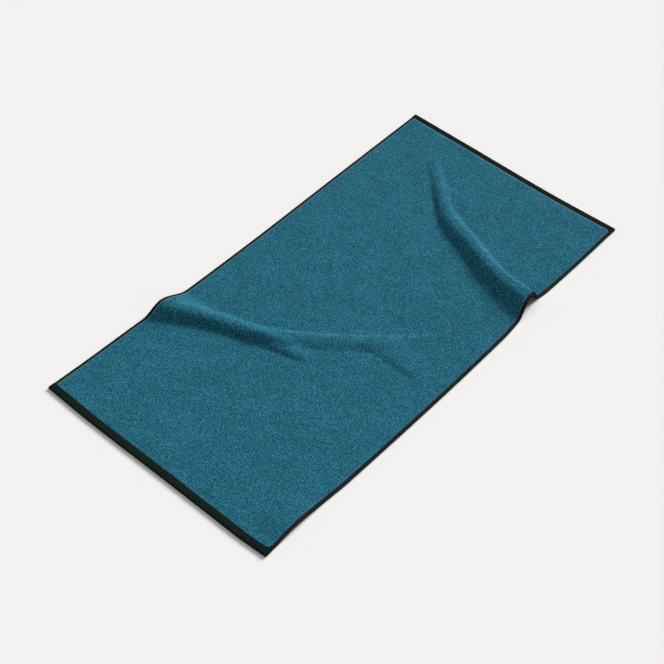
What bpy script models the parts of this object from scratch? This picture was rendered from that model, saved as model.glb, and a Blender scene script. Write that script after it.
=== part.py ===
"""Quick dry towel, lying open on a flat surface with two soft wrinkles.

One looped panel with a plain flat selvedge all round, a folded tape over each of its four edges, and
the needle and bobbin threads of the four lockstitch seams that hold the tapes. The origin is at the
middle of the underside, +X across the towel, +Y along it, +Z up.

Everything is set out on the flat cloth, as x across it, y along it and w above its middle layer, and
then laid down by lay(), which holds the wrinkles and the slight wander of the edges.
"""

import math

import bmesh
import bpy
import numpy as np

# Overall sizes
TOWEL_WIDTH = 0.500
TOWEL_LENGTH = 1.000

# The panel: looped pile on both faces, and a flat selvedge that the tapes grip
PILE_THICKNESS = 0.0046
PILE_SHOULDER = 0.0010
SELVEDGE_THICKNESS = 0.0008

# The tapes, folded double over each edge
TAPE_FOLD_THICKNESS = 0.0014
END_TAPE_WIDTH = 0.0132
SIDE_TAPE_WIDTH = 0.0056

# The seams, which pull each tape in along a narrow dip
THREAD_DIAMETER = 0.0004
THREAD_RECESS = 0.0002
SEAM_DIP_SLOPE = 0.0007
SEAM_INSET = 0.0020
THREAD_END_MARGIN = 0.0020

CLEARANCE = 0.0003

# How finely the cloth is divided
FINE_STEP = TOWEL_LENGTH / 160
COARSE_STEP_COUNT = 8
FINE_STEP_BEND = 0.00002
PANEL_COLUMN_STEP = 0.0125
END_COLUMN_STEP = 0.0500
FOLD_STEPS = 2
FLAT_ANGLE = math.radians(0.01)
SHARP_ANGLE = math.radians(35)
WELD_DISTANCE = 0.00001
PROBE = 0.0005

# Worked out from the sizes above
BINDING_THICKNESS = SELVEDGE_THICKNESS + 2 * (CLEARANCE + TAPE_FOLD_THICKNESS)
MIDDLE_HEIGHT = max(PILE_THICKNESS, BINDING_THICKNESS) / 2
SEAM_DIP = THREAD_DIAMETER + CLEARANCE + THREAD_RECESS
TAPE_OUTSIDE = BINDING_THICKNESS / 2
TAPE_INSIDE = SELVEDGE_THICKNESS / 2 + CLEARANCE
THREAD_OFFSET = TAPE_OUTSIDE - SEAM_DIP + CLEARANCE + THREAD_DIAMETER / 2
HALF_WIDTH = TOWEL_WIDTH / 2
HALF_LENGTH = TOWEL_LENGTH / 2

# A taped side holds a wrinkle square to itself this far in
SQUARE_REACH = 0.008

# The wrinkles. Each starts at a long side and dies out across the towel. "crest" gives the line of its
# top, as pairs of the distance in from that side and the distance from the near or the far end. The
# other pairs give, at a distance in from the side, the height and the half widths of the slopes that
# face the near and the far end. "near_fullness" gives how full the near slope is, where it isn't FULL.
FULL = ((0.0, 4.0), (TOWEL_WIDTH, 4.0))
WRINKLES = {
    "left_wrinkle": {
        "side": -1,
        "end": -1,
        "crest": (
            (SQUARE_REACH, 0.260), (0.09, 0.302), (0.17, 0.336),
            (0.24, 0.385), (0.32, 0.452), (0.42, 0.550),
        ),
        "height": (
            (SQUARE_REACH, 0.0192), (0.05, 0.0158), (0.10, 0.0122), (0.15, 0.0098),
            (0.20, 0.0078), (0.30, 0.0052), (0.42, 0.0),
        ),
        "near_slope": ((SQUARE_REACH, 0.044), (0.10, 0.030), (0.16, 0.029), (0.24, 0.038), (0.42, 0.048)),
        "far_slope": ((SQUARE_REACH, 0.060), (0.07, 0.029), (0.20, 0.020), (0.42, 0.018)),
        "near_fullness": ((SQUARE_REACH, 2.0), (0.06, 3.0)),
    },
    "left_tuck": {
        "side": -1,
        "end": -1,
        "crest": ((0.05, 0.281), (0.12, 0.307), (0.18, 0.329), (0.23, 0.343), (0.29, 0.352)),
        "height": ((0.06, 0.0), (0.13, 0.0020), (0.19, 0.0056), (0.235, 0.0052), (0.285, 0.0)),
        "near_slope": ((0.05, 0.026), (0.19, 0.022), (0.28, 0.017)),
        "far_slope": ((0.05, 0.030), (0.28, 0.022)),
    },
    "inner_tuck": {
        "side": -1,
        "end": -1,
        "crest": ((0.30, 0.444), (0.36, 0.456), (0.41, 0.456), (0.46, 0.448)),
        "height": ((0.31, 0.0), (0.37, 0.0032), (0.42, 0.0026), (0.465, 0.0)),
        "near_slope": ((0.30, 0.024), (0.46, 0.020)),
        "far_slope": ((0.30, 0.050), (0.46, 0.040)),
    },
    "right_wrinkle": {
        "side": 1,
        "end": 1,
        "crest": (
            (SQUARE_REACH, 0.272), (0.083, 0.262), (0.178, 0.226),
            (0.259, 0.195), (0.325, 0.138), (0.40, 0.070),
        ),
        "height": (
            (SQUARE_REACH, 0.0240), (0.10, 0.0194), (0.20, 0.0150),
            (0.28, 0.0100), (0.34, 0.0052), (0.40, 0.0),
        ),
        "near_slope": (
            (SQUARE_REACH, 0.052), (0.06, 0.038), (0.12, 0.033),
            (0.22, 0.032), (0.30, 0.030), (0.40, 0.030),
        ),
        "far_slope": ((SQUARE_REACH, 0.020), (0.10, 0.025), (0.25, 0.023), (0.40, 0.020)),
    },
    "corner_lift": {
        "side": 1,
        "end": -1,
        "crest": ((SQUARE_REACH, 0.082), (0.10, 0.075)),
        "height": ((SQUARE_REACH, 0.0040), (0.04, 0.0026), (0.085, 0.0)),
        "near_slope": ((SQUARE_REACH, 0.058), (0.10, 0.050)),
        "far_slope": ((SQUARE_REACH, 0.062), (0.10, 0.050)),
    },
}

# How far each edge wanders from the straight, as pairs of the share of the way along it and the shift
LEFT_WANDER = (
    (0.0, -0.0018), (0.10, 0.0008), (0.20, 0.0020), (0.34, 0.0092),
    (0.44, 0.0095), (0.75, 0.0055), (1.0, 0.0025),
)
RIGHT_WANDER = (
    (0.0, -0.0010), (0.08, -0.0021), (0.13, -0.0006), (0.20, 0.0034), (0.50, 0.0074), (0.62, 0.0066),
    (0.67, 0.0033), (0.725, -0.0062), (0.78, -0.0016), (0.90, 0.0002), (1.0, 0.0002),
)
NEAR_WANDER = ((0.0, -0.0028), (0.25, -0.0054), (0.60, -0.0042), (0.86, -0.0042), (1.0, -0.0014))
FAR_WANDER = ((0.0, 0.0018), (0.30, -0.0010), (0.70, -0.0050), (1.0, -0.0022))

# Colours, linear, and how rough each cloth is
PILE_TEAL = (0.023, 0.130, 0.190)
PILE_ROUGHNESS = 0.95
TAPE_BLACK = (0.010, 0.014, 0.014)
TAPE_ROUGHNESS = 0.80
THREAD_BLACK = (0.014, 0.018, 0.018)
THREAD_ROUGHNESS = 0.60


def follow(points, where):
    """A smooth curve through the points that never overshoots them, level beyond its ends."""
    at, value = np.array(points, float).T
    steps = np.diff(at)
    slopes = np.diff(value) / steps
    tangents = np.concatenate([slopes[:1], np.zeros(len(slopes) - 1), slopes[-1:]])
    for i in range(1, len(slopes)):
        before, after = slopes[i - 1], slopes[i]
        if before * after > 0:
            tangents[i] = 2 * before * after / (before + after)
    where = np.clip(where, at[0], at[-1])
    i = np.clip(np.searchsorted(at, where) - 1, 0, len(steps) - 1)
    t = (where - at[i]) / steps[i]
    rise = value[i] + (value[i + 1] - value[i]) * t * t * (3 - 2 * t)
    bend = tangents[i] * t * (1 - t) ** 2 - tangents[i + 1] * t * t * (1 - t)
    return rise + bend * steps[i]


def height(x, y):
    """How far the wrinkles lift the cloth at a place."""
    total = np.zeros(np.shape(x))
    for wrinkle in WRINKLES.values():
        inwards = HALF_WIDTH - wrinkle["side"] * x
        crest = wrinkle["end"] * (HALF_LENGTH - follow(wrinkle["crest"], inwards))
        off = y - crest
        near, far = follow(wrinkle["near_slope"], inwards), follow(wrinkle["far_slope"], inwards)
        t = np.clip(np.abs(off) / np.where(off < 0, near, far), 0, 1)
        full = follow(wrinkle.get("near_fullness", FULL), inwards)
        near_fall = 1 - (full + 1) * t**full + full * t ** (full + 1)
        far_fall = 1 - t * t * (3 - 2 * t)
        total = total + follow(wrinkle["height"], inwards) * np.where(off < 0, near_fall, far_fall)
    return total


def middle_layer(x, y):
    """The cloth's middle layer, laid down."""
    across = (x + HALF_WIDTH) / TOWEL_WIDTH
    along = (y + HALF_LENGTH) / TOWEL_LENGTH
    dx = follow(LEFT_WANDER, along) * (1 - across) + follow(RIGHT_WANDER, along) * across
    dy = follow(NEAR_WANDER, across) * (1 - along) + follow(FAR_WANDER, across) * along
    return np.stack([x + dx, y + dy, MIDDLE_HEIGHT + height(x, y)], axis=-1)


def lay(x, y, w):
    """Where a point of the flat cloth lies, w above or below its middle layer."""
    x, y, w = (np.asarray(value, float) for value in np.broadcast_arrays(x, y, w))
    dx = middle_layer(x + PROBE, y) - middle_layer(x - PROBE, y)
    dy = middle_layer(x, y + PROBE) - middle_layer(x, y - PROBE)
    normal = np.cross(dx, dy)
    normal /= np.linalg.norm(normal, axis=-1, keepdims=True)
    return middle_layer(x, y) + normal * w[..., None]


def bend(x, y):
    """How far the middle layer at a place lies off the straight between a fine step before and after."""
    before, here, after = (middle_layer(x, y + shift) for shift in (-FINE_STEP, 0.0, FINE_STEP))
    return np.linalg.norm((before + after) / 2 - here, axis=-1)


def rows(first, last, across):
    """Places along y, close together where the cloth bends at any of the places across.

    Every list takes its places from the same fine steps, so that neighbouring parts bend together.
    """
    count = round(TOWEL_LENGTH / FINE_STEP)
    places = [first]
    for k in range(1, count):
        y = -HALF_LENGTH + TOWEL_LENGTH * k / count
        wanted = k % COARSE_STEP_COUNT == 0 or bend(np.array(across), y).max() > FINE_STEP_BEND
        if wanted and first + CLEARANCE < y < last - CLEARANCE:
            places.append(y)
    return places + [last]


def columns(first, last, step):
    """Places across x, evenly divided into steps of about the size given."""
    count = max(1, round((last - first) / step))
    return list(np.linspace(first, last, count + 1))


def grid(mesh, points):
    """Adds a grid of faces through an array of points."""
    down, across = points.shape[0] - 1, points.shape[1] - 1
    made = bmesh.ops.create_grid(mesh, x_segments=across, y_segments=down, size=1.0)["verts"]
    for vertex in made:
        i = round((vertex.co.y + 1) / 2 * down)
        j = round((vertex.co.x + 1) / 2 * across)
        vertex.co = points[i, j]


def rims(mesh):
    """The edges that only one face meets."""
    return [edge for edge in mesh.edges if edge.is_boundary]


def closed_body(name, mesh, material):
    """Makes an object of a mesh that has no rims left, with its flat stretches merged."""
    bmesh.ops.recalc_face_normals(mesh, faces=mesh.faces)
    bmesh.ops.dissolve_limit(mesh, angle_limit=FLAT_ANGLE, verts=mesh.verts, edges=mesh.edges)
    data = bpy.data.meshes.new(name)
    mesh.to_mesh(data)
    mesh.free()
    data.shade_smooth()
    data.set_sharp_from_angle(angle=SHARP_ANGLE)
    return place(name, data, material)


def sheet(name, upper, lower, material):
    """A closed body between two grids of points, joined round their edges."""
    mesh = bmesh.new()
    grid(mesh, upper)
    grid(mesh, lower)
    bmesh.ops.bridge_loops(mesh, edges=rims(mesh))
    return closed_body(name, mesh, material)


def strip(name, outlines, material):
    """A closed body through a row of closed outlines, with a flat cap at each end."""
    mesh = bmesh.new()
    grid(mesh, np.concatenate([outlines, outlines[:, :1]], axis=1))
    bmesh.ops.remove_doubles(mesh, verts=mesh.verts, dist=WELD_DISTANCE)
    bmesh.ops.holes_fill(mesh, edges=rims(mesh))
    return closed_body(name, mesh, material)


def place(name, data, material):
    """Puts a mesh or a curve in the towel's collection as a named sub-part."""
    data.materials.append(material)
    made = bpy.data.objects.new(name, data)
    made.parent = origin
    collection.objects.link(made)
    return made


def finish(name, colour, roughness):
    """A plain cloth material."""
    material = bpy.data.materials.new(name)
    material.use_nodes = True
    shader = material.node_tree.nodes["Principled BSDF"]
    shader.inputs["Base Color"].default_value = (*colour, 1.0)
    shader.inputs["Roughness"].default_value = roughness
    shader.inputs["Metallic"].default_value = 0.0
    return material


def panel():
    """The looped panel, thick in its middle and thin where the tapes grip it."""
    selvedge_edge = TAPE_FOLD_THICKNESS + CLEARANCE
    side_foot = HALF_WIDTH - SIDE_TAPE_WIDTH - CLEARANCE
    end_foot = HALF_LENGTH - END_TAPE_WIDTH - CLEARANCE
    side_top, end_top = side_foot - PILE_SHOULDER, end_foot - PILE_SHOULDER
    side_edge, end_edge = HALF_WIDTH - selvedge_edge, HALF_LENGTH - selvedge_edge
    pile_columns = columns(-side_top, side_top, PANEL_COLUMN_STEP)
    across = [-side_edge, -side_foot, *pile_columns, side_foot, side_edge]
    along = [-end_edge, -end_foot, *rows(-end_top, end_top, across), end_foot, end_edge]
    x, y = np.meshgrid(across, along)
    on_pile = (np.abs(x) < side_foot - PILE_SHOULDER / 2) & (np.abs(y) < end_foot - PILE_SHOULDER / 2)
    half = np.where(on_pile, PILE_THICKNESS, SELVEDGE_THICKNESS) / 2
    material = finish("terry_pile", PILE_TEAL, PILE_ROUGHNESS)
    return sheet("terry_panel", lay(x, y, half), lay(x, y, -half), material)


def tape_section(width):
    """The closed outline of a folded tape, as distances in from the edge and w."""
    flat = THREAD_DIAMETER / 2 + CLEARANCE
    seam = width - SEAM_INSET
    bottom = TAPE_OUTSIDE - SEAM_DIP
    outside = [
        (width, TAPE_OUTSIDE),
        (seam + flat + SEAM_DIP_SLOPE, TAPE_OUTSIDE),
        (seam + flat, bottom),
        (seam - flat, bottom),
        (seam - flat - SEAM_DIP_SLOPE, TAPE_OUTSIDE),
    ]
    for k in range(FOLD_STEPS + 1):
        turn = math.pi / 2 * k / FOLD_STEPS
        reach = TAPE_FOLD_THICKNESS * (1 - math.sin(turn))
        outside.append((reach, TAPE_OUTSIDE - TAPE_FOLD_THICKNESS * (1 - math.cos(turn))))
    outside += [(reach, -w) for reach, w in reversed(outside)]
    inside = [(TAPE_FOLD_THICKNESS, -TAPE_INSIDE), (TAPE_FOLD_THICKNESS, TAPE_INSIDE)]
    return np.array([*outside, (width, -TAPE_INSIDE), *inside, (width, TAPE_INSIDE)])


def binding(name, side, stations, width, along_end):
    """A folded tape over one edge: an end when along_end is set, a long side otherwise."""
    reach, w = tape_section(width).T
    at = np.array(stations)[:, None]
    if along_end:
        outlines = lay(at, side * (HALF_LENGTH - reach), w)
    else:
        outlines = lay(side * (HALF_WIDTH - reach), at, w)
    return strip(name, outlines, finish(f"{name}_tape", TAPE_BLACK, TAPE_ROUGHNESS))


def thread(name, points):
    """A seam's thread, as a thin tube along its points."""
    curve = bpy.data.curves.new(name, "CURVE")
    curve.dimensions = "3D"
    curve.bevel_depth = THREAD_DIAMETER / 2
    curve.bevel_resolution = 1
    curve.use_fill_caps = True
    spline = curve.splines.new("POLY")
    spline.points.add(len(points) - 1)
    for point, where in zip(spline.points, points):
        point.co = (*where, 1.0)
    return place(name, curve, finish(name, THREAD_BLACK, THREAD_ROUGHNESS))


def seam(name, side, stations, width, along_end):
    """The two threads of a lockstitch seam: the needle's on top, the bobbin's underneath."""
    inwards = width - SEAM_INSET
    at = np.array(stations)
    for which, w in (("needle", THREAD_OFFSET), ("bobbin", -THREAD_OFFSET)):
        if along_end:
            points = lay(at, side * (HALF_LENGTH - inwards), w)
        else:
            points = lay(side * (HALF_WIDTH - inwards), at, w)
        thread(f"{name}_{which}_thread", points)


def end_edges():
    """The two short ends, each with its tape across the whole width and its seam."""
    stations = columns(-HALF_WIDTH, HALF_WIDTH, END_COLUMN_STEP)
    seam_stations = [-HALF_WIDTH + THREAD_END_MARGIN, *stations[1:-1], HALF_WIDTH - THREAD_END_MARGIN]
    for name, side in (("near_end", -1), ("far_end", 1)):
        binding(f"{name}_binding", side, stations, END_TAPE_WIDTH, True)
        seam(name, side, seam_stations, END_TAPE_WIDTH, True)


def side_edges():
    """The two long sides, whose tapes stop against the tapes of the ends."""
    stop = HALF_LENGTH - END_TAPE_WIDTH - CLEARANCE
    seam_stop = stop - THREAD_END_MARGIN
    for name, side in (("left_side", -1), ("right_side", 1)):
        at_edge = [side * HALF_WIDTH]
        stations = rows(-stop, stop, at_edge)
        binding(f"{name}_binding", side, stations, SIDE_TAPE_WIDTH, False)
        seam(name, side, rows(-seam_stop, seam_stop, at_edge), SIDE_TAPE_WIDTH, False)


for stale in list(bpy.data.objects):
    bpy.data.objects.remove(stale, do_unlink=True)

collection = bpy.data.collections.new("quick_dry_towel")
bpy.context.scene.collection.children.link(collection)
origin = bpy.data.objects.new("towel_origin", None)
collection.objects.link(origin)

panel()
end_edges()
side_edges()
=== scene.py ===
"""Quick dry towel: a looped cloth with taped edges, laid open with two soft wrinkles.

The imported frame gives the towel's place and size. This script stands a finely modelled piece in for each
of its nodes: the looped cloth, the four folded tapes with their rounded folds, and the stitches of the
four seams on both faces. Everything is set out on the flat cloth, as x across it, y along it and w above
its middle layer, and then laid down by the same wrinkles as the frame's cloth.
"""

from __future__ import annotations

import logging
import math
from dataclasses import dataclass, field
from enum import Enum
from typing import Any

import bmesh
import bpy
import numpy as np
from mathutils import Euler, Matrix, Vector


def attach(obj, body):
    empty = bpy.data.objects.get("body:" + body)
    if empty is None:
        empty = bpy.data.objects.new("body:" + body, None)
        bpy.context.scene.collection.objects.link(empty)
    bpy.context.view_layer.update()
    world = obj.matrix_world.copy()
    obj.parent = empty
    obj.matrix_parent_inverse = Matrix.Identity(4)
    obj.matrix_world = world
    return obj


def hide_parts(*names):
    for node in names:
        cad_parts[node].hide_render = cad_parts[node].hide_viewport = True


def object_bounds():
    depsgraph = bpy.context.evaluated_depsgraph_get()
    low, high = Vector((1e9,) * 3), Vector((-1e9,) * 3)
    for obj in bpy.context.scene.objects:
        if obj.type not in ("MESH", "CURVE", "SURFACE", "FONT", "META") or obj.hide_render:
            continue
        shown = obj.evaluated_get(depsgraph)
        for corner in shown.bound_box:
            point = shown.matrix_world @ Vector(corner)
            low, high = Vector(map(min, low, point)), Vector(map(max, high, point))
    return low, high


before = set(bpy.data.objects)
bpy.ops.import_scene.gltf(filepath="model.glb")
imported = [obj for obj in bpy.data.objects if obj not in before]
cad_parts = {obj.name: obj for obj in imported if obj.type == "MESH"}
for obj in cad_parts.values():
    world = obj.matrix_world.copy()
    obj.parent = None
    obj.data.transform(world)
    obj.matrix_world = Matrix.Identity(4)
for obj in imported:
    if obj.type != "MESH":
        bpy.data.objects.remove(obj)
CAD_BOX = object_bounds()

log = logging.getLogger("towel")

Pairs = tuple[tuple[float, float], ...]
Triple = tuple[float, float, float]
Colour = Triple
Stops = list[tuple[float, Colour]]
ROOT = "root"
FLAT_ATTRIBUTE = "flat"
BAKE_MAP = "OFBake"
SEED = 11
NOISE_WAVES = 14
SIDE_TAPE_COLOUR = (0.0105, 0.0170, 0.0205)
WAVE_BANDS_PER_UNIT = 20 / math.tau


# ---------------------------------------------------------------------------------------------------
# Shader maths
# ---------------------------------------------------------------------------------------------------


class Value:
    """A number that varies over a surface, held as a node's output socket."""

    def __init__(self, graph: Graph, socket: bpy.types.NodeSocket) -> None:
        """Wraps a socket.

        Args:
            graph: The node graph that the socket belongs to.
            socket: The output that carries the number.
        """
        self.graph = graph
        self.socket = socket

    def _math(self, operation: str, first: Any, second: Any) -> Value:
        """Adds a Math node and gives its result."""
        node = self.graph.node("ShaderNodeMath", {"operation": operation}, {0: first, 1: second})
        return Value(self.graph, node.outputs[0])

    def __add__(self, other: Value | float) -> Value:
        """self + other."""
        return self._math("ADD", self, other)

    __radd__ = __add__

    def __sub__(self, other: Value | float) -> Value:
        """self - other."""
        return self._math("SUBTRACT", self, other)

    def __rsub__(self, other: float) -> Value:
        """other - self."""
        return self._math("SUBTRACT", other, self)

    def __mul__(self, other: Value | float) -> Value:
        """self * other."""
        return self._math("MULTIPLY", self, other)

    __rmul__ = __mul__


class Graph:
    """The node graph of one material or of the world."""

    def __init__(self, tree: bpy.types.NodeTree) -> None:
        """Starts afresh.

        Args:
            tree: The tree to build in.
        """
        self.tree = tree
        self.tree.nodes.clear()

    @classmethod
    def of_material(cls, name: str) -> Graph:
        """Starts the graph of a new material.

        Args:
            name: The material's name.

        Returns:
            The graph, which holds the material.
        """
        material = bpy.data.materials.new(name)
        material.use_nodes = True
        graph = cls(material.node_tree)
        graph.material = material
        return graph

    def node(
        self, kind: str, settings: dict[str, Any] | None = None, inputs: dict[Any, Any] | None = None
    ) -> bpy.types.Node:
        """Adds any node.

        Args:
            kind: The node's type.
            settings: Its properties, set first. "stops" holds a colour ramp's stops.
            inputs: A number, colour, socket or Value for each input, by its name or index.

        Returns:
            The new node.
        """
        made = self.tree.nodes.new(kind)
        for key, value in (settings or {}).items():
            if key == "stops":
                self.set_stops(made.color_ramp, value)
            else:
                setattr(made, key, value)
        for key, value in (inputs or {}).items():
            source = value.socket if isinstance(value, Value) else value
            if isinstance(source, bpy.types.NodeSocket):
                self.tree.links.new(source, made.inputs[key])
            else:
                made.inputs[key].default_value = source
        return made

    @staticmethod
    def set_stops(ramp: bpy.types.ColorRamp, stops: Stops) -> None:
        """Gives a colour ramp its stops.

        Args:
            ramp: The ramp.
            stops: The place and the colour of each stop.
        """
        while len(ramp.elements) < len(stops):
            ramp.elements.new(1.0)
        for element, (place, colour) in zip(ramp.elements, stops):
            element.position = place
            element.color = (*colour, 1.0)

    def flat_place(self) -> bpy.types.NodeSocket:
        """Where a point lies on the flat cloth, in metres."""
        return self.node("ShaderNodeAttribute", {"attribute_name": FLAT_ATTRIBUTE}).outputs["Vector"]

    def scaled(self, vector: bpy.types.NodeSocket, scale: Triple) -> bpy.types.NodeSocket:
        """A vector times a scale for each axis."""
        return self.node("ShaderNodeVectorMath", {"operation": "MULTIPLY"}, {0: vector, 1: scale}).outputs[0]

    def shifted(self, vector: bpy.types.NodeSocket, by: bpy.types.NodeSocket) -> bpy.types.NodeSocket:
        """The sum of two vectors."""
        return self.node("ShaderNodeVectorMath", {"operation": "ADD"}, {0: vector, 1: by}).outputs[0]

    def noise(self, vector: bpy.types.NodeSocket, scale: float, detail: float = 2.0) -> Value:
        """Smooth noise from 0 to 1."""
        node = self.node("ShaderNodeTexNoise", {}, {"Vector": vector, "Scale": scale, "Detail": detail})
        return Value(self, node.outputs["Fac"])

    def ease(self, value: Value, start: float, end: float, low: float = 0.0, high: float = 1.0) -> Value:
        """A smooth step.

        Args:
            value: What it follows.
            start: Where value is when the step begins.
            end: Where value is when the step is done.
            low: The result at the start.
            high: The result at the end.

        Returns:
            The result between them.
        """
        sockets = {"Value": value, "From Min": start, "From Max": end, "To Min": low, "To Max": high}
        node = self.node("ShaderNodeMapRange", {"interpolation_type": "SMOOTHSTEP"}, sockets)
        return Value(self, node.outputs["Result"])

    def ramp(self, value: Value | bpy.types.NodeSocket, stops: Stops) -> bpy.types.NodeSocket:
        """A colour read from a ramp."""
        return self.node("ShaderNodeValToRGB", {"stops": stops}, {"Fac": value}).outputs["Color"]

    def tinted(self, colour: bpy.types.NodeSocket, by: Value) -> bpy.types.NodeSocket:
        """Makes a colour lighter or darker.

        Args:
            colour: The colour.
            by: What it is times.

        Returns:
            The new colour.
        """
        grey = self.node("ShaderNodeCombineXYZ", {}, {"X": by, "Y": by, "Z": by}).outputs[0]
        node = self.node("ShaderNodeVectorMath", {"operation": "MULTIPLY"}, {0: colour, 1: grey})
        return node.outputs[0]

    def mixed(self, share: Value, first: Any, second: Colour) -> bpy.types.NodeSocket:
        """A mix of two colours, all first where share is 0 and all second where it is 1."""
        sockets = {"Factor": share, 6: first, 7: (*second, 1.0)}
        return self.node("ShaderNodeMix", {"data_type": "RGBA"}, sockets).outputs[2]

    def finish(
        self, shader: dict[str, Any], height: Value | None = None, depth: float = 0.0
    ) -> bpy.types.Material:
        """Adds the surface shader.

        Args:
            shader: What its sockets hold.
            height: The relief, if any, from 0 to 1.
            depth: The height of the relief in metres.

        Returns:
            The finished material.
        """
        sockets = dict(shader)
        if height is not None:
            bump = self.node("ShaderNodeBump", {}, {"Height": height, "Distance": depth, "Strength": 1.0})
            sockets["Normal"] = bump.outputs["Normal"]
        surface = self.node("ShaderNodeBsdfPrincipled", {}, sockets)
        self.node("ShaderNodeOutputMaterial", {}, {"Surface": surface.outputs["BSDF"]})
        return self.material


# ---------------------------------------------------------------------------------------------------
# Finishes
# ---------------------------------------------------------------------------------------------------


@dataclass(frozen=True)
class TerryPile:
    """Looped yarn in rows along the towel: dark between the loops, teal on them, pale at their tops. The
    dark is partly painted shade and the pale is partly painted highlight, laid over the yarn's own uneven
    tone.
    """

    row_pitch: float = 0.0032
    loop_pitch: float = 0.0026
    row_sway: float = 0.0012
    loop_depth: float = 0.0011
    # The darkest stop is partly painted shade between the rows and loops. The two palest stops are partly
    # painted highlight on the loop tops. The rest of the spread is the yarn's own uneven tone.
    gap: Colour = (0.0004, 0.0270, 0.0620)
    body: Colour = (0.0060, 0.0900, 0.1420)
    top: Colour = (0.0290, 0.1830, 0.2580)
    painted_glint: Colour = (0.0880, 0.3350, 0.4200)
    # Painted highlight: the paler rim of pile beside each tape, where its edge catches the light.
    rim_highlight: Colour = (0.085, 0.165, 0.190)
    half_width: float = 0.2443
    half_length: float = 0.4867
    sway_scale: float = 60.0
    curl_scale: float = 480.0
    yarn_scale: float = 1500.0
    cloud_scale: float = 26.0
    patch_scale: float = 90.0
    stop_places: tuple[float, float, float, float] = (0.20, 0.46, 0.67, 0.86)
    sheen_tint: tuple[float, float, float, float] = (0.45, 0.80, 0.90, 1.0)

    def material(self) -> bpy.types.Material:
        """Builds the pile's material.

        Returns:
            The material, whose pattern follows the flat cloth.
        """
        graph = Graph.of_material("terry_pile")
        place = graph.flat_place()
        sway = graph.node(
            "ShaderNodeTexNoise", {}, {"Vector": place, "Scale": self.sway_scale, "Detail": 1.0}
        )
        centred = graph.node(
            "ShaderNodeVectorMath", {"operation": "SUBTRACT"}, {0: sway.outputs["Color"], 1: (0.5, 0.5, 0.5)}
        )
        swayed = graph.shifted(place, graph.scaled(centred.outputs[0], (self.row_sway, self.row_sway, 0.0)))
        cells = graph.scaled(swayed, (1 / self.row_pitch, 1 / self.loop_pitch, 0.0))
        loops = graph.node(
            "ShaderNodeTexVoronoi",
            {"voronoi_dimensions": "2D"},
            {"Vector": cells, "Scale": 1.0, "Randomness": 0.5},
        )
        rows = graph.node(
            "ShaderNodeTexWave",
            {"wave_type": "BANDS", "bands_direction": "X", "wave_profile": "SIN"},
            {"Vector": swayed, "Scale": 1 / (self.row_pitch * WAVE_BANDS_PER_UNIT)},
        )
        row = Value(graph, rows.outputs["Fac"])
        dome = graph.ease(Value(graph, loops.outputs["Distance"]), 0.62, 0.08)
        chance = graph.node("ShaderNodeSeparateColor", {}, {"Color": loops.outputs["Color"]})
        lean = Value(graph, chance.outputs["Red"])
        curl = graph.ease(graph.noise(swayed, self.curl_scale, 1.0), 0.30, 0.70)
        yarn = graph.noise(swayed, self.yarn_scale, 1.0)
        # The tone is low between rows and loops and high on their tops, so the ramp paints shade in the
        # hollows and highlights on the tops, mixed with random yarn tone.
        tone = row * 0.43 + curl * 0.29 + dome * 0.08 + lean * 0.10 + yarn * 0.10
        stops = list(zip(self.stop_places, (self.gap, self.body, self.top, self.painted_glint)))
        colour = graph.ramp(tone, stops)
        clouds = graph.ease(graph.noise(place, self.cloud_scale), 0.30, 0.70, 0.94, 1.06)
        patches = graph.ease(graph.noise(place, self.patch_scale), 0.25, 0.75, 0.96, 1.04)
        colour = graph.tinted(graph.tinted(colour, clouds), patches)
        # Paints a highlight along the pile's rim beside the tapes.
        colour = graph.mixed(self._rim_highlight(graph, place), colour, self.rim_highlight)
        shader = {
            "Base Color": colour,
            "Roughness": 0.95,
            "Specular IOR Level": 0.05,
            "Sheen Weight": 0.02,
            "Sheen Roughness": 0.5,
            "Sheen Tint": self.sheen_tint,
        }
        return graph.finish(shader, row * 0.36 + curl * 0.24 + dome * 0.28 + yarn * 0.12, self.loop_depth)

    def _rim_highlight(self, graph: Graph, place: bpy.types.NodeSocket) -> Value:
        """How much painted highlight lies along the pile's rim beside each tape.

        Args:
            graph: The material's graph.
            place: Where a point lies on the flat cloth.

        Returns:
            The share of the painted highlight, from 0 to 1.
        """
        parts = graph.node("ShaderNodeSeparateXYZ", {}, {0: place})
        x, y = Value(graph, parts.outputs["X"]), Value(graph, parts.outputs["Y"])
        clear = graph.ease(x + self.half_width, 0.0020, 0.0042, 0.30)
        clear = clear * graph.ease(self.half_length - y, 0.0022, 0.0048, 0.35)
        clear = clear * graph.ease(self.half_width - x, 0.0018, 0.0036, 0.72)
        clear = clear * graph.ease(y + self.half_length, 0.0018, 0.0036, 0.72)
        return 1 - clear


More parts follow.
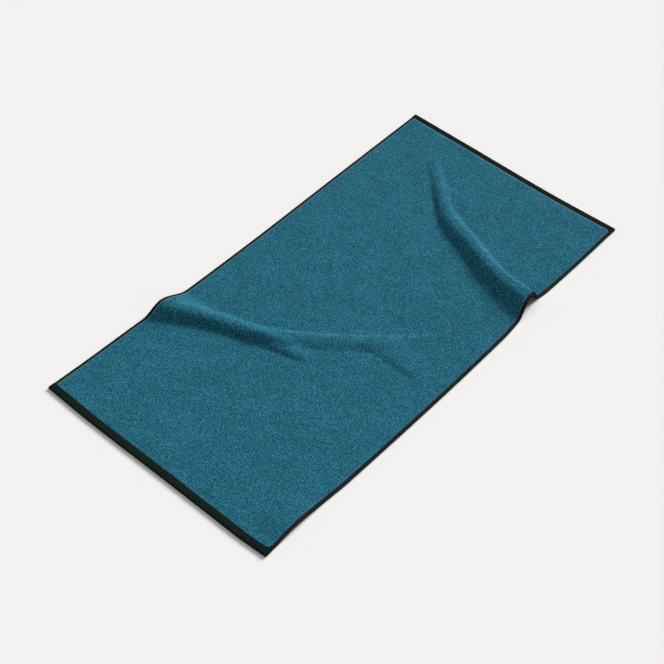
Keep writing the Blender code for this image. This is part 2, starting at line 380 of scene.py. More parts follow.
@dataclass(frozen=True)
class WovenTape:
    """A flat black tape with fine ribs across it."""

    name: str
    colour: Colour = (0.0062, 0.0128, 0.0105)
    rib_pitch: float = 0.0011
    rib_depth: float = 0.00022
    fuzz_scale: float = 2600.0
    wear_scale: float = 45.0

    def material(self) -> bpy.types.Material:
        """Builds the tape's material.

        Returns:
            The material, whose ribs run across the tape.
        """
        graph = Graph.of_material(self.name)
        place = graph.flat_place()
        ribs = graph.node(
            "ShaderNodeTexWave",
            {"wave_type": "BANDS", "bands_direction": "X", "wave_profile": "SIN"},
            {"Vector": place, "Scale": 1 / (self.rib_pitch * WAVE_BANDS_PER_UNIT)},
        )
        rib = Value(graph, ribs.outputs["Fac"])
        fuzz = graph.noise(graph.scaled(place, (1.0, 0.35, 1.0)), self.fuzz_scale)
        wear = graph.ease(graph.noise(place, self.wear_scale, 3.0), 0.3, 0.7, 0.85, 1.15)
        dark = tuple(channel * 0.6 for channel in self.colour)
        light = tuple(channel * 1.6 for channel in self.colour)
        colour = graph.ramp(rib * 0.55 + fuzz * 0.45, [(0.2, dark), (0.55, self.colour), (0.95, light)])
        shader = {
            "Base Color": graph.tinted(colour, wear),
            "Roughness": 0.88,
            "Specular IOR Level": 0.04,
        }
        return graph.finish(shader, rib * 0.7 + fuzz * 0.3, self.rib_depth)


@dataclass(frozen=True)
class SewingThread:
    """Twisted black thread with a slight shine."""

    colour: Colour = (0.0070, 0.0115, 0.0105)
    twist_scale: float = 3200.0
    twist_depth: float = 0.00005

    def material(self) -> bpy.types.Material:
        """Builds the thread's material.

        Returns:
            The material, with the twist of its plies.
        """
        graph = Graph.of_material("sewing_thread")
        place = graph.flat_place()
        twist = graph.noise(place, self.twist_scale, 1.0)
        dark = tuple(channel * 0.6 for channel in self.colour)
        light = tuple(channel * 1.7 for channel in self.colour)
        shader = {
            "Base Color": graph.ramp(twist, [(0.3, dark), (0.7, light)]),
            "Roughness": 0.7,
            "Specular IOR Level": 0.10,
        }
        return graph.finish(shader, twist, self.twist_depth)


@dataclass(frozen=True)
class StudioPaper:
    """Plain pale paper for the floor."""

    colour: Colour = (0.800, 0.7945, 0.788)

    def material(self) -> bpy.types.Material:
        """Builds the floor's material."""
        graph = Graph.of_material("studio_paper")
        shader = {"Base Color": (*self.colour, 1.0), "Roughness": 0.9, "Specular IOR Level": 0.0}
        return graph.finish(shader)


# ---------------------------------------------------------------------------------------------------
# The laid cloth
# ---------------------------------------------------------------------------------------------------


def follow(points: Pairs, where: np.ndarray) -> np.ndarray:
    """A smooth curve through points that never overshoots them, level beyond its ends.

    Args:
        points: Pairs of a place and the value there.
        where: The places to read.

    Returns:
        The values there.
    """
    at, value = np.array(points, float).T
    steps = np.diff(at)
    slopes = np.diff(value) / steps
    tangents = np.concatenate([slopes[:1], np.zeros(len(slopes) - 1), slopes[-1:]])
    for i in range(1, len(slopes)):
        before, after = slopes[i - 1], slopes[i]
        if before * after > 0:
            tangents[i] = 2 * before * after / (before + after)
    where = np.clip(where, at[0], at[-1])
    i = np.clip(np.searchsorted(at, where) - 1, 0, len(steps) - 1)
    t = (where - at[i]) / steps[i]
    rise = value[i] + (value[i + 1] - value[i]) * t * t * (3 - 2 * t)
    bend = tangents[i] * t * (1 - t) ** 2 - tangents[i + 1] * t * t * (1 - t)
    return rise + bend * steps[i]


@dataclass(frozen=True)
class Wrinkle:
    """A soft fold that starts at one long side and dies out across the towel.

    Its pairs give, at a distance in from that side, the crest's distance from the near or the far end,
    its height, the half widths of the slopes that face the near and the far end, and how full the near
    slope is.
    """

    side: int
    end: int
    crest: Pairs
    height: Pairs
    near_slope: Pairs
    far_slope: Pairs
    near_fullness: Pairs = ((0.0, 4.0), (0.5, 4.0))

    def lift(self, x: np.ndarray, y: np.ndarray, half_width: float, half_length: float) -> np.ndarray:
        """How far it lifts the cloth.

        Args:
            x: Places across the flat cloth.
            y: Places along it.
            half_width: Half the cloth's width.
            half_length: Half its length.

        Returns:
            The lift at each place, in metres.
        """
        inwards = half_width - self.side * x
        crest = self.end * (half_length - follow(self.crest, inwards))
        off = y - crest
        near, far = follow(self.near_slope, inwards), follow(self.far_slope, inwards)
        t = np.clip(np.abs(off) / np.where(off < 0, near, far), 0, 1)
        full = follow(self.near_fullness, inwards)
        near_fall = 1 - (full + 1) * t**full + full * t ** (full + 1)
        far_fall = 1 - t * t * (3 - 2 * t)
        return follow(self.height, inwards) * np.where(off < 0, near_fall, far_fall)


SQUARE_REACH = 0.008

WRINKLES = (
    Wrinkle(
        side=-1,
        end=-1,
        crest=(
            (SQUARE_REACH, 0.260), (0.09, 0.302), (0.17, 0.336),
            (0.24, 0.385), (0.32, 0.452), (0.42, 0.550),
        ),
        height=(
            (SQUARE_REACH, 0.0192), (0.05, 0.0158), (0.10, 0.0122), (0.15, 0.0098),
            (0.20, 0.0078), (0.30, 0.0052), (0.42, 0.0),
        ),
        near_slope=((SQUARE_REACH, 0.044), (0.10, 0.030), (0.16, 0.029), (0.24, 0.038), (0.42, 0.048)),
        far_slope=((SQUARE_REACH, 0.060), (0.07, 0.029), (0.20, 0.020), (0.42, 0.018)),
        near_fullness=((SQUARE_REACH, 2.0), (0.06, 3.0)),
    ),
    Wrinkle(
        side=-1,
        end=-1,
        crest=((0.05, 0.281), (0.12, 0.307), (0.18, 0.329), (0.23, 0.343), (0.29, 0.352)),
        height=((0.06, 0.0), (0.13, 0.0020), (0.19, 0.0056), (0.235, 0.0052), (0.285, 0.0)),
        near_slope=((0.05, 0.026), (0.19, 0.022), (0.28, 0.017)),
        far_slope=((0.05, 0.030), (0.28, 0.022)),
    ),
    Wrinkle(
        side=-1,
        end=-1,
        crest=((0.30, 0.444), (0.36, 0.456), (0.41, 0.456), (0.46, 0.448)),
        height=((0.31, 0.0), (0.37, 0.0032), (0.42, 0.0026), (0.465, 0.0)),
        near_slope=((0.30, 0.024), (0.46, 0.020)),
        far_slope=((0.30, 0.050), (0.46, 0.040)),
    ),
    Wrinkle(
        side=1,
        end=1,
        crest=(
            (SQUARE_REACH, 0.272), (0.083, 0.262), (0.178, 0.226),
            (0.259, 0.195), (0.325, 0.138), (0.40, 0.070),
        ),
        height=(
            (SQUARE_REACH, 0.0240), (0.10, 0.0194), (0.20, 0.0150),
            (0.28, 0.0100), (0.34, 0.0052), (0.40, 0.0),
        ),
        near_slope=(
            (SQUARE_REACH, 0.052), (0.06, 0.038), (0.12, 0.033),
            (0.22, 0.032), (0.30, 0.030), (0.40, 0.030),
        ),
        far_slope=((SQUARE_REACH, 0.020), (0.10, 0.025), (0.25, 0.023), (0.40, 0.020)),
    ),
    Wrinkle(
        side=1,
        end=-1,
        crest=((SQUARE_REACH, 0.082), (0.10, 0.075)),
        height=((SQUARE_REACH, 0.0040), (0.04, 0.0026), (0.085, 0.0)),
        near_slope=((SQUARE_REACH, 0.058), (0.10, 0.050)),
        far_slope=((SQUARE_REACH, 0.062), (0.10, 0.050)),
    ),
)


@dataclass(frozen=True)
class LaidCloth:
    """The flat cloth and how it lies: its sizes, its wrinkles and the slight wander of its edges."""

    width: float = 0.500
    length: float = 1.000
    middle_height: float = 0.0023
    probe: float = 0.0005
    wrinkles: tuple[Wrinkle, ...] = WRINKLES
    left_wander: Pairs = (
        (0.0, -0.0018), (0.10, 0.0008), (0.20, 0.0020), (0.34, 0.0092),
        (0.44, 0.0095), (0.75, 0.0055), (1.0, 0.0025),
    )
    right_wander: Pairs = (
        (0.0, -0.0010), (0.08, -0.0021), (0.13, -0.0006), (0.20, 0.0034), (0.50, 0.0074), (0.62, 0.0066),
        (0.67, 0.0033), (0.725, -0.0062), (0.78, -0.0016), (0.90, 0.0002), (1.0, 0.0002),
    )
    near_wander: Pairs = ((0.0, -0.0028), (0.25, -0.0054), (0.60, -0.0042), (0.86, -0.0042), (1.0, -0.0014))
    far_wander: Pairs = ((0.0, 0.0018), (0.30, -0.0010), (0.70, -0.0050), (1.0, -0.0022))

    @property
    def half_width(self) -> float:
        """Half the width."""
        return self.width / 2

    @property
    def half_length(self) -> float:
        """Half the length."""
        return self.length / 2

    def middle_layer(self, x: np.ndarray, y: np.ndarray) -> np.ndarray:
        """The cloth's middle layer, laid down.

        Args:
            x: Places across the flat cloth.
            y: Places along it.

        Returns:
            The points there, in metres.
        """
        across = (x + self.half_width) / self.width
        along = (y + self.half_length) / self.length
        dx = follow(self.left_wander, along) * (1 - across) + follow(self.right_wander, along) * across
        dy = follow(self.near_wander, across) * (1 - along) + follow(self.far_wander, across) * along
        lift = sum(wrinkle.lift(x, y, self.half_width, self.half_length) for wrinkle in self.wrinkles)
        return np.stack([x + dx, y + dy, self.middle_height + lift], axis=-1)

    def lay(self, x: np.ndarray, y: np.ndarray, w: np.ndarray) -> np.ndarray:
        """Where points of the flat cloth lie.

        Args:
            x: Places across the flat cloth.
            y: Places along it.
            w: Heights above its middle layer, square to it.

        Returns:
            The laid points, in metres.
        """
        x, y, w = (np.asarray(value, float) for value in np.broadcast_arrays(x, y, w))
        dx = self.middle_layer(x + self.probe, y) - self.middle_layer(x - self.probe, y)
        dy = self.middle_layer(x, y + self.probe) - self.middle_layer(x, y - self.probe)
        normal = np.cross(dx, dy)
        normal /= np.linalg.norm(normal, axis=-1, keepdims=True)
        return self.middle_layer(x, y) + normal * w[..., None]


class Edge(Enum):
    """One edge of the towel: its name, whether it is a short end, and which way it faces."""

    NEAR_END = ("near_end", True, -1)
    FAR_END = ("far_end", True, 1)
    LEFT_SIDE = ("left_side", False, -1)
    RIGHT_SIDE = ("right_side", False, 1)

    @property
    def label(self) -> str:
        """The start of the names of its nodes."""
        return self.value[0]

    @property
    def is_end(self) -> bool:
        """True for a short end."""
        return self.value[1]

    def lay(self, cloth: LaidCloth, along: np.ndarray, reach: np.ndarray, w: np.ndarray) -> np.ndarray:
        """Lays down points given from this edge.

        Args:
            cloth: The cloth.
            along: Places along the edge.
            reach: Distances in from the edge.
            w: Heights above the middle layer.

        Returns:
            The laid points, in metres.
        """
        side = self.value[2]
        if self.is_end:
            return cloth.lay(along, side * (cloth.half_length - reach), w)
        return cloth.lay(side * (cloth.half_width - reach), along, w)


# ---------------------------------------------------------------------------------------------------
# Mesh tools
# ---------------------------------------------------------------------------------------------------


@dataclass
class Body:
    """A mesh in the making: points, their places on the flat cloth and their quads."""

    points: list[np.ndarray] = field(default_factory=list)
    flats: list[np.ndarray] = field(default_factory=list)
    quads: list[np.ndarray] = field(default_factory=list)
    count: int = 0

    def add_grid(self, points: np.ndarray, flats: np.ndarray, closed: bool = False) -> None:
        """Adds a grid of quads through an array of points.

        Args:
            points: The points, as rows of columns.
            flats: Where each lies on the flat cloth, in the same layout.
            closed: Whether the last column joins the first.
        """
        rows, columns = points.shape[:2]
        index = np.arange(rows * columns).reshape(rows, columns) + self.count
        if closed:
            index = np.concatenate([index, index[:, :1]], axis=1)
        corners = (index[:-1, :-1], index[:-1, 1:], index[1:, 1:], index[1:, :-1])
        self.quads.append(np.stack(corners, axis=-1).reshape(-1, 4))
        self.points.append(points.reshape(-1, 3))
        self.flats.append(flats.reshape(-1, 3))
        self.count += rows * columns

    def build(self, name: str, material: bpy.types.Material, bridge: bool = False) -> bpy.types.Object:
        """Makes the object, with every hole closed and its faces pointing out.

        Args:
            name: The piece's name.
            material: Its finish.
            bridge: Whether its two rims are joined to each other. Otherwise each is capped.

        Returns:
            The object, riding on the frame.
        """
        data = bpy.data.meshes.new(name)
        points, flats = np.concatenate(self.points), np.concatenate(self.flats)
        data.from_pydata(points.tolist(), [], np.concatenate(self.quads).tolist())
        data.attributes.new(FLAT_ATTRIBUTE, "FLOAT_VECTOR", "POINT")
        data.attributes[FLAT_ATTRIBUTE].data.foreach_set("vector", flats.astype(np.float32).ravel())
        mesh = bmesh.new()
        mesh.from_mesh(data)
        rims = [edge for edge in mesh.edges if edge.is_boundary]
        if bridge:
            bmesh.ops.bridge_loops(mesh, edges=rims)
        else:
            bmesh.ops.holes_fill(mesh, edges=rims)
        bmesh.ops.recalc_face_normals(mesh, faces=mesh.faces)
        mesh.to_mesh(data)
        mesh.free()
        data.materials.append(material)
        data.shade_smooth()
        made = bpy.data.objects.new(name, data)
        bpy.context.scene.collection.objects.link(made)
        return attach(made, ROOT)


def soft_noise(x: np.ndarray, y: np.ndarray, size: float, seed: int) -> np.ndarray:
    """Smooth noise from -1 to 1 over the flat cloth.

    Args:
        x: Places across.
        y: Places along.
        size: How far apart its lumps are, in metres.
        seed: Which noise.

    Returns:
        The noise at each place.
    """
    random = np.random.default_rng(seed)
    total = np.zeros(np.broadcast(x, y).shape)
    for _ in range(NOISE_WAVES):
        turn, phase = random.uniform(0, math.tau, 2)
        pitch = size * random.uniform(0.7, 1.6)
        total += np.sin((x * math.cos(turn) + y * math.sin(turn)) * math.tau / pitch + phase)
    return total / math.sqrt(NOISE_WAVES)


# ---------------------------------------------------------------------------------------------------
# The sub-assemblies
# ---------------------------------------------------------------------------------------------------


@dataclass
class Edging:
    """What the tapes and the looped cloth share: the tapes' widths and the cloth's thin border."""

    end_width: float = 0.0132
    side_width: float = 0.0056
    outside: float = 0.0021
    inside: float = 0.0007
    fold: float = 0.0014
    clearance: float = 0.0003

    def width(self, edge: Edge) -> float:
        """The width of an edge's tape."""
        return self.end_width if edge.is_end else self.side_width


@dataclass(frozen=True)
class RoundedCorners:
    """The pile's four corners, rounded where the two tapes meet, with their radii."""

    edging: Edging
    near_left: float = 0.0030
    near_right: float = 0.0085
    far_left: float = 0.0030
    far_right: float = 0.0070

    def radius(self, side: np.ndarray, end: np.ndarray) -> np.ndarray:
        """The radius of a corner.

        Args:
            side: -1 for the left side and 1 for the right one.
            end: -1 for the near end and 1 for the far one.

        Returns:
            The radius, in metres.
        """
        near = np.where(np.asarray(side) < 0, self.near_left, self.near_right)
        far = np.where(np.asarray(side) < 0, self.far_left, self.far_right)
        return np.where(np.asarray(end) < 0, near, far)

    def rounded(self, cloth: LaidCloth, x: np.ndarray, y: np.ndarray) -> tuple[np.ndarray, np.ndarray]:
        """Draws a square grid in at its corners, so that its rim follows their arcs.

        Args:
            cloth: The cloth.
            x: Places across the flat cloth.
            y: Places along it.

        Returns:
            The places, drawn in.
        """
        radius = self.radius(x, y)
        centre_x = cloth.half_width - self.edging.side_width - radius
        centre_y = cloth.half_length - self.edging.end_width - radius
        a = (np.abs(x) - centre_x) / radius
        b = (np.abs(y) - centre_y) / radius
        inside = (a > 0) & (b > 0) & (np.maximum(a, b) <= 1)
        a, b = np.clip(a, 0, 1), np.clip(b, 0, 1)
        drawn_x = np.sign(x) * (centre_x + radius * a * np.sqrt(1 - b * b / 2))
        drawn_y = np.sign(y) * (centre_y + radius * b * np.sqrt(1 - a * a / 2))
        return np.where(inside, drawn_x, x), np.where(inside, drawn_y, y)


@dataclass
class LoopedCloth:
    """The terry cloth: deep loops on both faces, thinning to a plain border under the tapes."""

    cloth: LaidCloth
    edging: Edging
    corners: RoundedCorners
    border: float = 0.0004
    upper_pile: float = 0.0025
    under_pile: float = 0.00215
    shoulder: float = 0.0024
    upper_step: float = 0.00252
    under_step: float = 0.0064
    lump_height: float = 0.00012
    cloud_height: float = 0.00014
    cloud_size: float = 0.030
    tape_gap: float = 0.0001
    shoulder_gap: float = 0.00004
    shoulder_degrees: tuple[float, ...] = (25.0, 50.0, 90.0)

    def _places(self, half: float, tape: float, step: float) -> tuple[np.ndarray, np.ndarray]:
        """Places across or along one face, with the share of the pile's height at each.

        Args:
            half: Half the cloth's size that way.
            tape: The width of the tape at both ends of it.
            step: How far apart the places are.

        Returns:
            The places and the shares.
        """
        foot = half - tape - self.tape_gap
        rim = [(half - self.edging.fold - self.edging.clearance, 0.0), (foot, 0.0)]
        for turn in np.radians(self.shoulder_degrees):
            inset = self.shoulder * (1 - math.cos(turn)) ** 1.6
            rim.append((foot - inset - self.shoulder_gap, math.sin(turn) ** 0.5))
        outer = np.array(rim)
        top = outer[-1, 0]
        count = round(2 * top / step)
        inner = np.linspace(-top, top, count + 1)[1:-1]
        places = np.concatenate([-outer[:, 0], inner, outer[::-1, 0]])
        shares = np.concatenate([outer[:, 1], np.ones(len(inner)), outer[::-1, 1]])
        return places, shares

    def _face(self, body: Body, step: float, pile: float, upper: bool) -> None:
        """Adds one face of the cloth.

        Args:
            body: The mesh it goes in.
            step: How finely it is divided.
            pile: The height of its loops from the middle layer.
            upper: Whether it is the upper face.
        """
        across, across_share = self._places(self.cloth.half_width, self.edging.side_width, step)
        along, along_share = self._places(self.cloth.half_length, self.edging.end_width, step)
        x, y = np.meshgrid(across, along)
        share = np.minimum(*np.meshgrid(across_share, along_share))
        lumps = np.zeros(x.shape)
        if upper:
            random = np.random.default_rng(SEED)
            grain = random.normal(0, 1, x.shape)
            grain[1:-1] = (grain[:-2] + grain[1:-1] + grain[2:]) / math.sqrt(3)
            lumps = self.lump_height * grain + self.cloud_height * soft_noise(x, y, self.cloud_size, SEED)
        full = share >= 1
        w = self.border + (pile - self.border) * share + np.where(full, lumps, 0)
        sign = 1 if upper else -1
        x, y = self.corners.rounded(self.cloth, x, y)
        flats = np.stack([x, y, np.full(x.shape, sign * 0.01)], axis=-1)
        body.add_grid(self.cloth.lay(x, y, sign * w), flats)

    def _bake_map(self, data: bpy.types.Mesh) -> None:
        """Lays the upper face in one half of the bake's square and the under face in the other.

        Args:
            data: The cloth's mesh.
        """
        flats = np.zeros(len(data.vertices) * 3, np.float32)
        data.attributes[FLAT_ATTRIBUTE].data.foreach_get("vector", flats)
        x, y, side = flats.reshape(-1, 3).T
        u = (x + self.cloth.half_width) / self.cloth.length * 0.98 + 0.005
        u = np.where(side > 0, u, u + 0.5)
        v = (y + self.cloth.half_length) / self.cloth.length * 0.98 + 0.01
        corners = np.zeros(len(data.loops), np.int32)
        data.loops.foreach_get("vertex_index", corners)
        layer = data.uv_layers.new(name=BAKE_MAP)
        layer.data.foreach_set("uv", np.stack([u[corners], v[corners]], axis=1).astype(np.float32).ravel())

    def build(self, finish: TerryPile) -> bpy.types.Object:
        """Builds the looped cloth.

        Args:
            finish: The pile's finish.

        Returns:
            The piece, standing for the frame's panel.
        """
        body = Body()
        self._face(body, self.upper_step, self.upper_pile, upper=True)
        self._face(body, self.under_step, self.under_pile, upper=False)
        made = body.build("looped_cloth", finish.material(), bridge=True)
        self._bake_map(made.data)
        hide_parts("terry_panel")
        return made


@dataclass
class Tape:
    """A tape folded over one edge, pressed in along its seam."""

    cloth: LaidCloth
    edging: Edging
    edge: Edge
    corners: RoundedCorners
    seam_inset: float = 0.0020
    seam_dip: float = 0.00042
    seam_spread: float = 0.00075
    crown: float = 0.00012
    station_step: float = 0.0030
    fold_steps: int = 7
    fold_reach: float = 1.35
    fold_power: float = 2.3
    ripple: float = 0.00016
    sway_size: float = 0.022
    puff_size: float = 0.009
    corner: float = 0.0022
    fillet_steps: int = 15
    fillet_tuck: float = 0.0011
    fillet_press: float = 0.0004
    fillet_depths: tuple[float, ...] = (0.0, 0.35, 0.75, 1.0)
    fillet_heights: tuple[float, ...] = (0.0016, 0.00195, 0.00190, 0.00145)

    @property
    def seam_reach(self) -> float:
        """How far the seam lies in from the edge."""
        return self.edging.width(self.edge) - self.seam_inset

    def surface(self, reach: np.ndarray) -> np.ndarray:
        """The height of the tape's face above the cloth's middle layer.

        Args:
            reach: Distances in from the edge.

        Returns:
            The heights, in metres.
        """
        edging, width = self.edging, self.edging.width(self.edge)
        round_off = np.clip(1 - reach / (self.fold_reach * edging.outside), 0, 1)
        fold = edging.outside * (1 - round_off**self.fold_power) ** (1 / self.fold_power)
        dip = self.seam_dip * np.exp(-(((reach - self.seam_reach) / self.seam_spread) ** 2))
        inner = np.clip((reach - width + 0.0005) / 0.0005, 0, 1)
        return fold - dip + self.crown * np.sin(math.pi * reach / width) - 0.00045 * inner**2.5

    def _section(self) -> tuple[np.ndarray, np.ndarray]:
        """The closed outline of the folded tape.

        Returns:
            Its points' distances in from the edge and their heights.
        """
        edging, width, seam = self.edging, self.edging.width(self.edge), self.seam_reach
        turns = np.linspace(0, 1, self.fold_steps)[1:]
        fold = self.fold_reach * edging.outside * (1 - np.cos(turns * math.pi / 2)) ** 1.2
        spread = self.seam_spread
        flat = [fold[-1] + (seam - 2 * spread - fold[-1]) * share for share in (0.35, 0.7)]
        rest = [seam - 1.7 * spread, seam - 0.8 * spread, seam, seam + 0.8 * spread, seam + 1.6 * spread]
        rest += [width - 0.0003, width - 0.0001, width]
        upper = np.sort(np.concatenate([fold, flat, rest]))
        heights = self.surface(upper)
        inner_reach = [width, edging.fold, edging.fold, width]
        inner_height = [-edging.inside, -edging.inside, edging.inside, edging.inside]
        reach = np.concatenate([[0.0], upper, inner_reach[::-1], upper[::-1]])
        w = np.concatenate([[0.0], heights, inner_height[::-1], -heights[::-1]])
        return reach, w

    def stations(self) -> np.ndarray:
        """Divides the edge into short steps, closer at its ends.

        Returns:
            The places along it.
        """
        edging = self.edging
        if self.edge.is_end:
            stop = self.cloth.half_width
        else:
            stop = self.cloth.half_length - edging.end_width - edging.clearance
        ends = np.array([0.0, 0.0002, 0.0006, 0.0012, 0.0020])
        count = round(2 * (stop - ends[-1]) / self.station_step)
        middle = np.linspace(-stop + ends[-1], stop - ends[-1], count + 1)[1:-1]
        return np.concatenate([-stop + ends, middle, (stop - ends)[::-1]])

    def _add_fillets(self, body: Body) -> None:
        """Fills the two inner corners between this end's tape and the side tapes.

        Args:
            body: The mesh they go in.
        """
        share = np.linspace(0, 1, self.fillet_steps)[:, None]
        turn = share * math.pi / 2
        half, height = np.array(self.fillet_depths), np.array(self.fillet_heights)
        depth = np.concatenate([half, half[::-1]])[None, :]
        w = np.concatenate([height, -height[::-1]])[None, :]
        tuck, press = self.fillet_tuck, self.fillet_press
        end = -1 if self.edge is Edge.NEAR_END else 1
        for side in (-1, 1):
            radius = float(self.corners.radius(side, end))
            outer_x = np.clip(1 - 2 * share, 0, 1) * radius - np.clip(share * 6 - 2, 0, 1) * tuck
            outer_y = np.clip(2 * share - 1, 0, 1) * radius - np.clip(4 - share * 6, 0, 1) * tuck
            inner_x = radius + press / 2 - (radius - press / 2) * np.sin(turn)
            inner_y = radius + press / 2 - (radius - press / 2) * np.cos(turn)
            x = outer_x + (inner_x - outer_x) * depth
            y = outer_y + (inner_y - outer_y) * depth
            x = side * (self.cloth.half_width - self.edging.side_width - x)
            y = end * (self.cloth.half_length - self.edging.end_width - y)
            flats = np.stack([x, self.edging.end_width + 0 * x, 0 * x], axis=-1)
            body.add_grid(self.cloth.lay(x, y, w + 0 * x), flats, closed=True)

    def build(self, finish: WovenTape) -> bpy.types.Object:
        """Builds the tape.

        Args:
            finish: The tape's finish.

        Returns:
            The piece, standing for the frame's binding.
        """
        reach, w = self._section()
        stations = self.stations()
        width = self.edging.width(self.edge)
        around = np.concatenate([[0.0], np.cumsum(np.hypot(np.diff(reach), np.diff(w)))])
        along = np.repeat(stations[:, None], len(reach), axis=1)
        from_end = np.minimum(stations - stations[0], stations[-1] - stations)[:, None]
        seed = SEED + list(Edge).index(self.edge)
        sway = self.ripple * soft_noise(stations, stations * 0, self.sway_size, seed)[:, None]
        puff = 0.6 * self.ripple * soft_noise(stations, stations * 0, self.puff_size, seed + 9)[:, None]
        reach2 = reach[None, :] + sway * np.clip(reach / width, 0, 1) ** 2
        thick = 1 - 0.22 * np.clip(1 - from_end / 0.0012, 0, 1) ** 2
        w2 = w[None, :] * thick + np.where(w > self.edging.inside * 1.1, 1, 0) * puff
        if self.edge.is_end:
            turn = np.clip(1 - from_end / self.corner, 0, 1)
            inset = self.corner * (1 - np.sqrt(1 - turn**2))
            reach2 = reach2 + inset * (1 - np.clip(reach2 / width, 0, 1))
        body = Body()
        flats = np.stack([along, np.broadcast_to(around, along.shape), np.zeros(along.shape)], axis=-1)
        body.add_grid(self.edge.lay(self.cloth, along, reach2, w2), flats, closed=True)
        if self.edge.is_end:
            self._add_fillets(body)
        made = body.build(f"{self.edge.label}_tape", finish.material())
        made.data.set_sharp_from_angle(angle=math.radians(50))
        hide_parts(f"{self.edge.label}_binding")
        return made


class Face(Enum):
    """Which face of the towel a thread is on: its name and its node's name."""

    UPPER = ("top_stitches", "needle_thread", 1)
    UNDER = ("under_stitches", "bobbin_thread", -1)


@dataclass
class Seam:
    """One line of lockstitches along a tape, with the thread of each face as a piece."""

    tape: Tape
    stitch: float = 0.0030
    thread_radius: float = 0.00021
    margin: float = 0.0020
    sides: int = 6
    stitch_shares: tuple[float, ...] = (0.0, 0.12, 0.32, 0.68, 0.88)
    stitch_lifts: tuple[float, ...] = (-0.00075, -0.00010, 0.00012, 0.00012, -0.00010)
    under_shift: float = 0.03

    def _route(self, sign: int) -> tuple[np.ndarray, np.ndarray]:
        """The thread's path, as places along the edge and heights.

        Args:
            sign: 1 for the upper face and -1 for the under face.

        Returns:
            The places and the heights.
        """
        stations = self.tape.stations()
        first, last = stations[0] + self.margin, stations[-1] - self.margin
        count = round((last - first) / self.stitch)
        shares, lifts = np.array(self.stitch_shares), np.array(self.stitch_lifts)
        starts = np.linspace(first, last, count + 1)
        step = starts[1] - starts[0]
        along = np.append((starts[:-1, None] + shares * step).ravel(), last)
        lift = np.append(np.tile(lifts, count), lifts[0])
        if sign < 0:
            along = along + step * self.under_shift
        base = float(self.tape.surface(np.array([self.tape.seam_reach]))[0])
        return along, sign * (base + lift)

    def _tube(self, path: np.ndarray, square: np.ndarray) -> np.ndarray:
        """The rings of a round tube along a path.

        Args:
            path: The points it follows.
            square: A direction square to the cloth at each.

        Returns:
            The rings' points.
        """
        ahead = np.gradient(path, axis=0)
        ahead /= np.linalg.norm(ahead, axis=1, keepdims=True)
        out = np.cross(ahead, square)
        out /= np.linalg.norm(out, axis=1, keepdims=True)
        up = np.cross(out, ahead)
        turns = np.arange(self.sides) / self.sides * math.tau
        ring = out[:, None] * np.cos(turns)[None, :, None] + up[:, None] * np.sin(turns)[None, :, None]
        return path[:, None] + ring * self.thread_radius

    def build(self, face: Face, finish: SewingThread) -> bpy.types.Object:
        """Builds one face's thread.

        Args:
            face: Which face it is on.
            finish: The thread's finish.

        Returns:
            The piece, standing for the frame's thread.
        """
        label, node, sign = face.value
        edge, cloth = self.tape.edge, self.tape.cloth
        along, w = self._route(sign)
        reach = np.full(along.shape, self.tape.seam_reach)
        path = edge.lay(cloth, along, reach, w)
        square = edge.lay(cloth, along, reach, w + 0.001) - path
        rings = self._tube(path, square / np.linalg.norm(square, axis=1, keepdims=True))
        flats = np.zeros(rings.shape)
        flats[..., 0] = along[:, None]
        flats[..., 1] = np.arange(self.sides)[None, :] * self.thread_radius
        body = Body()
        body.add_grid(rings, flats, closed=True)
        made = body.build(f"{edge.label}_{label}", finish.material())
        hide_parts(f"{edge.label}_{node}")
        return made


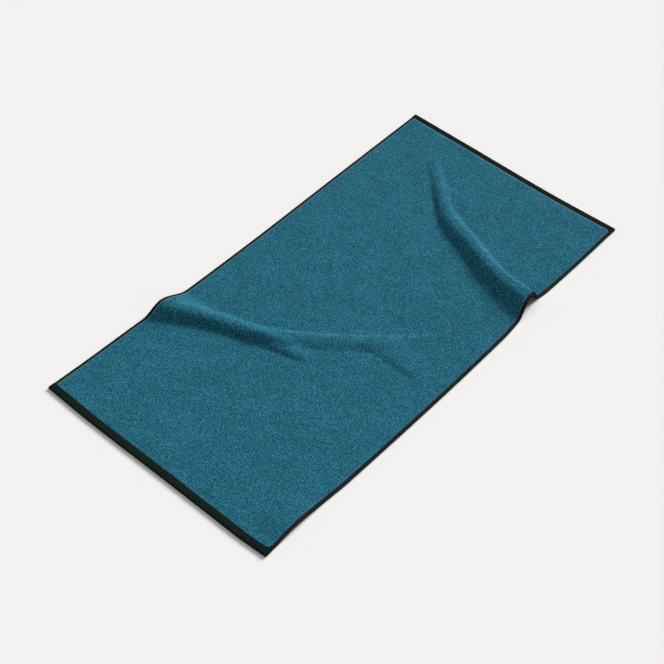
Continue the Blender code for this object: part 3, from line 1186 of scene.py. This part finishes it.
@dataclass
class Studio:
    """The pale floor, the soft light from the towel's far end and the camera."""

    floor_size: float = 30.0
    floor_drop: float = 0.0002
    paper: StudioPaper = field(default_factory=StudioPaper)
    camera_place: Triple = (1.00978, -1.34210, 1.80605)
    camera_turn_degrees: Triple = (41.618, -2.387, 40.727)
    lens_mm: float = 73.42
    sensor_mm: float = 36.0
    sun_from: Triple = (0.02, 1.00, 0.51)
    sun_strength: float = 4.92
    sun_spread_degrees: float = 24.0
    sun_colour: Colour = (1.0, 0.995, 0.985)
    sky_stops: Pairs = ((0.03, 0.88), (0.12, 0.12), (1.0, 0.14))
    lamp_from: Triple = (-0.20, 0.0, 0.98)
    lamp_stops: Pairs = ((0.80, 0.0), (0.92, 1.05), (1.0, 1.10))

    def build(self) -> bpy.types.Object:
        """Builds the floor, the light and the camera.

        Returns:
            The floor.
        """
        floor = self._floor()
        self._sun()
        self._dome()
        self._camera()
        bpy.context.scene.view_settings.view_transform = "Standard"
        return floor

    def _floor(self) -> bpy.types.Object:
        """Lays the floor just under the towel.

        Returns:
            The floor.
        """
        data = bpy.data.meshes.new("floor")
        mesh = bmesh.new()
        bmesh.ops.create_grid(mesh, x_segments=1, y_segments=1, size=self.floor_size / 2)
        mesh.to_mesh(data)
        mesh.free()
        data.materials.append(self.paper.material())
        floor = bpy.data.objects.new("floor", data)
        floor.location.z = CAD_BOX[0].z - self.floor_drop
        bpy.context.scene.collection.objects.link(floor)
        return floor

    def _sun(self) -> None:
        """Sets the broad light that comes low from the far end."""
        light = bpy.data.lights.new("window_light", "SUN")
        light.energy = self.sun_strength
        light.angle = math.radians(self.sun_spread_degrees)
        light.color = self.sun_colour
        made = bpy.data.objects.new("window_light", light)
        made.rotation_euler = Vector(self.sun_from).to_track_quat("Z", "Y").to_euler()
        bpy.context.scene.collection.objects.link(made)

    def _dome(self) -> None:
        """Sets the soft light from all round, brighter near the horizon to meet the floor."""
        world = bpy.data.worlds.new("soft_box")
        world.use_nodes = True
        bpy.context.scene.world = world
        graph = Graph(world.node_tree)
        way = graph.node("ShaderNodeTexCoord").outputs["Generated"]
        rise = graph.node("ShaderNodeSeparateXYZ", {}, {0: way}).outputs["Z"]
        to_lamp = Vector(self.lamp_from).normalized()
        near_lamp = graph.node("ShaderNodeVectorMath", {"operation": "DOT_PRODUCT"}, {0: way, 1: to_lamp})
        sky = graph.ramp(rise, self._greys(self.sky_stops))
        lamp = graph.ramp(near_lamp.outputs["Value"], self._greys(self.lamp_stops))
        glow = graph.node("ShaderNodeBackground", {}, {"Color": graph.shifted(sky, lamp)})
        graph.node("ShaderNodeOutputWorld", {}, {"Surface": glow.outputs["Background"]})

    @staticmethod
    def _greys(pairs: Pairs) -> Stops:
        """Pairs of a place and a brightness as a ramp's stops."""
        return [(place, (light,) * 3) for place, light in pairs]

    def _camera(self) -> None:
        """Sets the camera, which looks down on the near end from the right."""
        data = bpy.data.cameras.new("camera")
        data.lens = self.lens_mm
        data.sensor_width = self.sensor_mm
        camera = bpy.data.objects.new("camera", data)
        camera.location = self.camera_place
        camera.rotation_euler = Euler([math.radians(turn) for turn in self.camera_turn_degrees], "XYZ")
        bpy.context.scene.collection.objects.link(camera)
        bpy.context.scene.camera = camera


def main() -> None:
    """Builds the towel and its studio."""
    logging.basicConfig(level=logging.INFO, format="%(message)s")
    cloth, edging = LaidCloth(), Edging()
    floor = Studio().build()
    log.info("%s: the stage, not part of the towel", floor.name)
    corners = RoundedCorners(edging)
    panel = LoopedCloth(cloth, edging, corners).build(TerryPile())
    log.info("%s: %d faces", panel.name, len(panel.data.polygons))
    trims = []
    end_finish, thread = WovenTape("binding_tape"), SewingThread()
    side_finish = WovenTape("side_binding_tape", colour=SIDE_TAPE_COLOUR)
    for edge in Edge:
        tape = Tape(cloth, edging, edge, corners)
        trims.append(tape.build(end_finish if edge.is_end else side_finish))
        trims += [Seam(tape).build(face, thread) for face in Face]
    for piece in trims:
        log.info("%s: %d faces", piece.name, len(piece.data.polygons))


if __name__ == "__main__":
    main()
